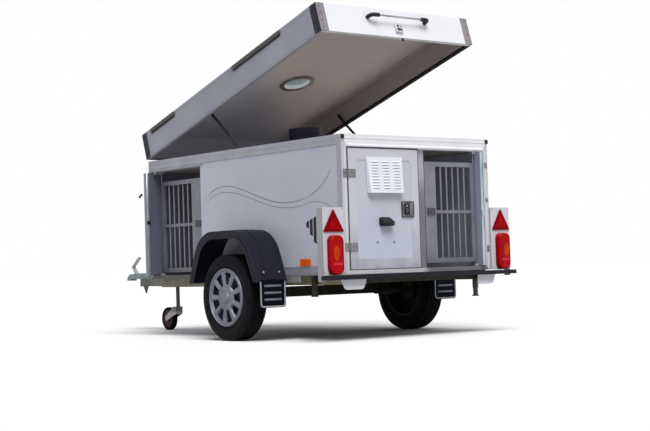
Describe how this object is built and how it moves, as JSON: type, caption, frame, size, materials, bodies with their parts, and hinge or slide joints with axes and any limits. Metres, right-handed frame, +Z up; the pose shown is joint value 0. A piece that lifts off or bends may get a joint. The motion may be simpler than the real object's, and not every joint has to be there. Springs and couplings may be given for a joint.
{
  "type": "dog transport trailer",
  "caption": "Single-axle box trailer with barred inner doors, sliding outer doors, a louvred vent and a front-hinged lid held open by gas struts.",
  "frame": {"origin": "on the ground under the middle of the whole trailer, drawbar included", "axes": "+X forward to the coupling, +Y to the left side, +Z up"},
  "size_m": [3.664, 1.688, 2.0934],
  "materials": {
    "aluminium_profile": "satin anodised",
    "side_skin": "smooth silver-grey coating",
    "door_skin": "smooth pale grey coating",
    "lid_skin": "silver grey outside, grey-brown inside",
    "deck_board": "coated board",
    "floor_board": "coated board, rough",
    "white_plastic": "moulded",
    "black_plastic": "grained",
    "corner_plastic": "moulded",
    "galvanised": "hot-dip galvanised",
    "zinc_plate": "zinc plated",
    "bright_metal": "plated",
    "barred_steel": "satin",
    "dark_bar": "dark coated",
    "tyre": "ribbed tread",
    "rim": "dark",
    "hubcap": "silver painted",
    "seal_rubber": "soft",
    "flap_rubber": "moulded with a pale border",
    "red_lens": "translucent",
    "orange_lens": "translucent",
    "strut_black": "gloss black",
    "strut_rod": "polished",
    "coupling_zinc": "grey-green plated",
    "wheel_hub": "red-brown hub in black rubber"
  },
  "bodies": {
    "trailer": {"body_frame": "aluminium_profile", "floor_panel": "floor_board", "side_panels": "side_skin", "front_panel": "side_skin", "ceiling_deck": "deck_board", "partitions": "side_skin", "door_runners": "aluminium_profile", "rear_door_left": "door_skin", "rear_door_right": "door_skin", "side_doors": "door_skin", "door_fittings": "zinc_plate", "corner_buffers": "seal_rubber", "vent_cover": "white_plastic", "plate_lamp": "black_plastic", "vent_duct": "black_plastic", "lid_hinge_brackets": "zinc_plate", "body_strut_brackets": "zinc_plate", "chassis_frame": "galvanised", "drawbar": "galvanised", "coupling_head": "coupling_zinc", "coupling_lever": "dark_bar", "axle_beam": "galvanised", "swing_arms": "galvanised", "mudguard_left": "black_plastic", "mudguard_right": "black_plastic", "mud_flaps": "flap_rubber", "lamp_boards": "white_plastic", "warning_triangles": "red_lens", "tail_lamps": "red_lens", "rear_bar": "dark_bar", "bar_brackets": "white_plastic", "side_markers": "orange_lens"},
    "lid": {"lid_shell": "lid_skin", "lid_corners": "corner_plastic", "lid_seal": "seal_rubber", "lid_handle": "black_plastic", "lid_lock": "bright_metal", "lid_vent": "black_plastic", "lid_hoods": "lid_skin", "lid_strut_brackets": "zinc_plate"},
    "inner_door_rear": {"barred_door_rear": "barred_steel"},
    "inner_door_left": {"barred_door_left": "barred_steel"},
    "inner_door_right": {"barred_door_right": "barred_steel"},
    "wheel_left": {"tyre_left": "tyre", "rim_left": "rim", "hubcap_left": "hubcap"},
    "wheel_right": {"tyre_right": "tyre", "rim_right": "rim", "hubcap_right": "hubcap"},
    "stand_left": {"stand_left": "galvanised"},
    "stand_right": {"stand_right": "galvanised"},
    "jockey_tube": {"jockey_tube": "zinc_plate"},
    "jockey_fork": {"jockey_fork": "zinc_plate"},
    "jockey_wheel": {"jockey_wheel": "wheel_hub"},
    "strut_cylinder_left": {"strut_cylinder_left": "strut_black"},
    "strut_cylinder_right": {"strut_cylinder_right": "strut_black"},
    "strut_rod_left": {"strut_rod_left": "strut_rod"},
    "strut_rod_right": {"strut_rod_right": "strut_rod"}
  },
  "joints": [
    {"name": "lid_hinge", "type": "hinge", "parent": "trailer", "child": "lid", "pos_m": [0.476, 0, 1.317], "axis": [0, 1, 0], "range_deg": [-16.75, 0]},
    {"name": "inner_door_rear_hinge", "type": "hinge", "parent": "trailer", "child": "inner_door_rear", "pos_m": [-1.751, -0.507, 0.8], "axis": [0, 0, 1], "range_deg": [0, 90]},
    {"name": "inner_door_left_hinge", "type": "hinge", "parent": "trailer", "child": "inner_door_left", "pos_m": [0.385, 0.555, 0.8], "axis": [0, 0, -1], "range_deg": [0, 90]},
    {"name": "inner_door_right_hinge", "type": "hinge", "parent": "trailer", "child": "inner_door_right", "pos_m": [0.385, -0.555, 0.8], "axis": [0, 0, 1], "range_deg": [0, 90]},
    {"name": "wheel_left_spin", "type": "hinge", "parent": "trailer", "child": "wheel_left", "pos_m": [-0.802, 0.756, 0.281], "axis": [0, 1, 0], "continuous": true},
    {"name": "wheel_right_spin", "type": "hinge", "parent": "trailer", "child": "wheel_right", "pos_m": [-0.802, -0.756, 0.281], "axis": [0, 1, 0], "continuous": true},
    {"name": "stand_left_slide", "type": "slide", "parent": "trailer", "child": "stand_left", "axis": [0, 0, -1], "range_m": [0, 0.11]},
    {"name": "stand_right_slide", "type": "slide", "parent": "trailer", "child": "stand_right", "axis": [0, 0, -1], "range_m": [0, 0.11]},
    {"name": "jockey_height", "type": "slide", "parent": "trailer", "child": "jockey_tube", "axis": [0, 0, 1], "range_m": [0, 0.09]},
    {"name": "jockey_swivel", "type": "hinge", "parent": "jockey_tube", "child": "jockey_fork", "pos_m": [1.092, 0, 0.186], "axis": [0, 0, 1], "continuous": true},
    {"name": "jockey_spin", "type": "hinge", "parent": "jockey_fork", "child": "jockey_wheel", "pos_m": [1.222, 0, 0.09], "axis": [0, 1, 0], "continuous": true},
    {"name": "strut_left_pivot", "type": "hinge", "parent": "lid", "child": "strut_cylinder_left", "pos_m": [-0.27653, 0.574, 1.57168], "axis": [0, 1, 0], "range_deg": [0, 39.65]},
    {"name": "strut_left_slide", "type": "slide", "parent": "strut_cylinder_left", "child": "strut_rod_left", "axis": [-0.7663, 0, -0.6424], "range_m": [-0.1551, 0]},
    {"name": "strut_right_pivot", "type": "hinge", "parent": "lid", "child": "strut_cylinder_right", "pos_m": [-0.27653, -0.574, 1.57168], "axis": [0, 1, 0], "range_deg": [0, 39.65]},
    {"name": "strut_right_slide", "type": "slide", "parent": "strut_cylinder_right", "child": "strut_rod_right", "axis": [-0.7663, 0, -0.6424], "range_m": [-0.1551, 0]}
  ],
  "couplings": [
    {"joint": "strut_left_pivot", "follows": "lid_hinge", "ratio": -2.2779},
    {"joint": "strut_left_slide", "follows": "lid_hinge", "m_per_rad": 0.51348},
    {"joint": "strut_right_pivot", "follows": "lid_hinge", "ratio": -2.2779},
    {"joint": "strut_right_slide", "follows": "lid_hinge", "m_per_rad": 0.51348}
  ]
}
